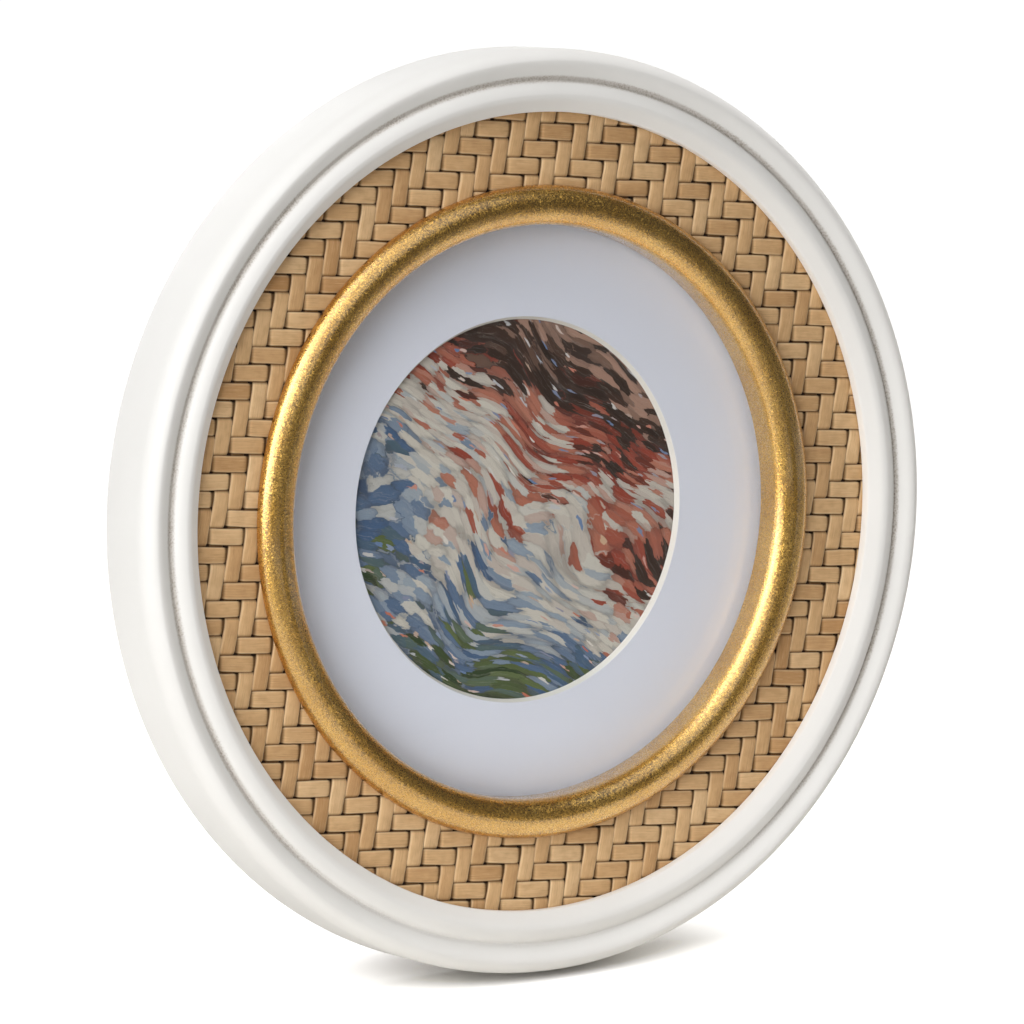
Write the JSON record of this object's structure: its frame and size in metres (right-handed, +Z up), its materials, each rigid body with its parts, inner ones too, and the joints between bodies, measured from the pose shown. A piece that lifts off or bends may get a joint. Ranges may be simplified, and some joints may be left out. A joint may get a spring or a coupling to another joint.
{
  "type": "picture frame",
  "caption": "Round picture frame with a white moulding, a woven rattan band and a gold bead round the glass, standing on a hinged easel leg.",
  "frame": {"origin": "bottom centre of the box round the frame as it stands on a table with its leg open", "axes": "+Z up, the picture faces -Y and leans back, +X to the right as the picture is looked at"},
  "size_m": [0.2296, 0.0654, 0.2295],
  "materials": {
    "white_moulding": "satin white paint over wood, worn grey in the groove",
    "rattan": "natural split cane, matte",
    "fibreboard": "raw fibreboard",
    "gilded_bead": "gold leaf over wood, satin metallic",
    "glass": "clear float glass",
    "mat": "off-white mat board with a cream core",
    "print": "printed paper",
    "grey_card": "grey board",
    "black_board": "fibreboard faced with black paper",
    "steel": "zinc plated"
  },
  "bodies": {
    "frame": {"outer_moulding": "white_moulding", "woven_rattan_panel": "rattan", "core_ring": "fibreboard", "gold_bead": "gilded_bead", "glass": "glass", "mat_board": "mat", "picture_print": "print", "filler_card": "grey_card", "backing_board": "black_board", "turn_button_screw_1": "steel", "turn_button_screw_2": "steel", "turn_button_screw_3": "steel", "turn_button_screw_4": "steel", "sawtooth_hanger": "steel", "hanger_nail_1": "steel", "hanger_nail_2": "steel", "hinge_fixed_leaf": "steel", "hinge_pin": "steel", "board_rivet_1": "steel", "board_rivet_2": "steel"},
    "easel": {"hinge_moving_leaf": "steel", "easel_leg": "black_board", "leg_rivet_1": "steel", "leg_rivet_2": "steel"},
    "button_1": {"turn_button_1": "steel"},
    "button_2": {"turn_button_2": "steel"},
    "button_3": {"turn_button_3": "steel"},
    "button_4": {"turn_button_4": "steel"}
  },
  "joints": [
    {"name": "easel_hinge", "type": "hinge", "parent": "frame", "child": "easel", "pos_m": [0, 0.01024, 0.15103], "axis": [1, 0, 0], "range_deg": [-16, 0]},
    {"name": "button_1_turn", "type": "hinge", "parent": "frame", "child": "button_1", "pos_m": [0.0594, 0.01252, 0.17232], "axis": [0, 0.9903, -0.1392], "continuous": true},
    {"name": "button_2_turn", "type": "hinge", "parent": "frame", "child": "button_2", "pos_m": [-0.0594, 0.01252, 0.17232], "axis": [0, 0.9903, -0.1392], "continuous": true},
    {"name": "button_3_turn", "type": "hinge", "parent": "frame", "child": "button_3", "pos_m": [-0.0594, -0.00401, 0.05468], "axis": [0, 0.9903, -0.1392], "continuous": true},
    {"name": "button_4_turn", "type": "hinge", "parent": "frame", "child": "button_4", "pos_m": [0.0594, -0.00401, 0.05468], "axis": [0, 0.9903, -0.1392], "continuous": true}
  ]
}
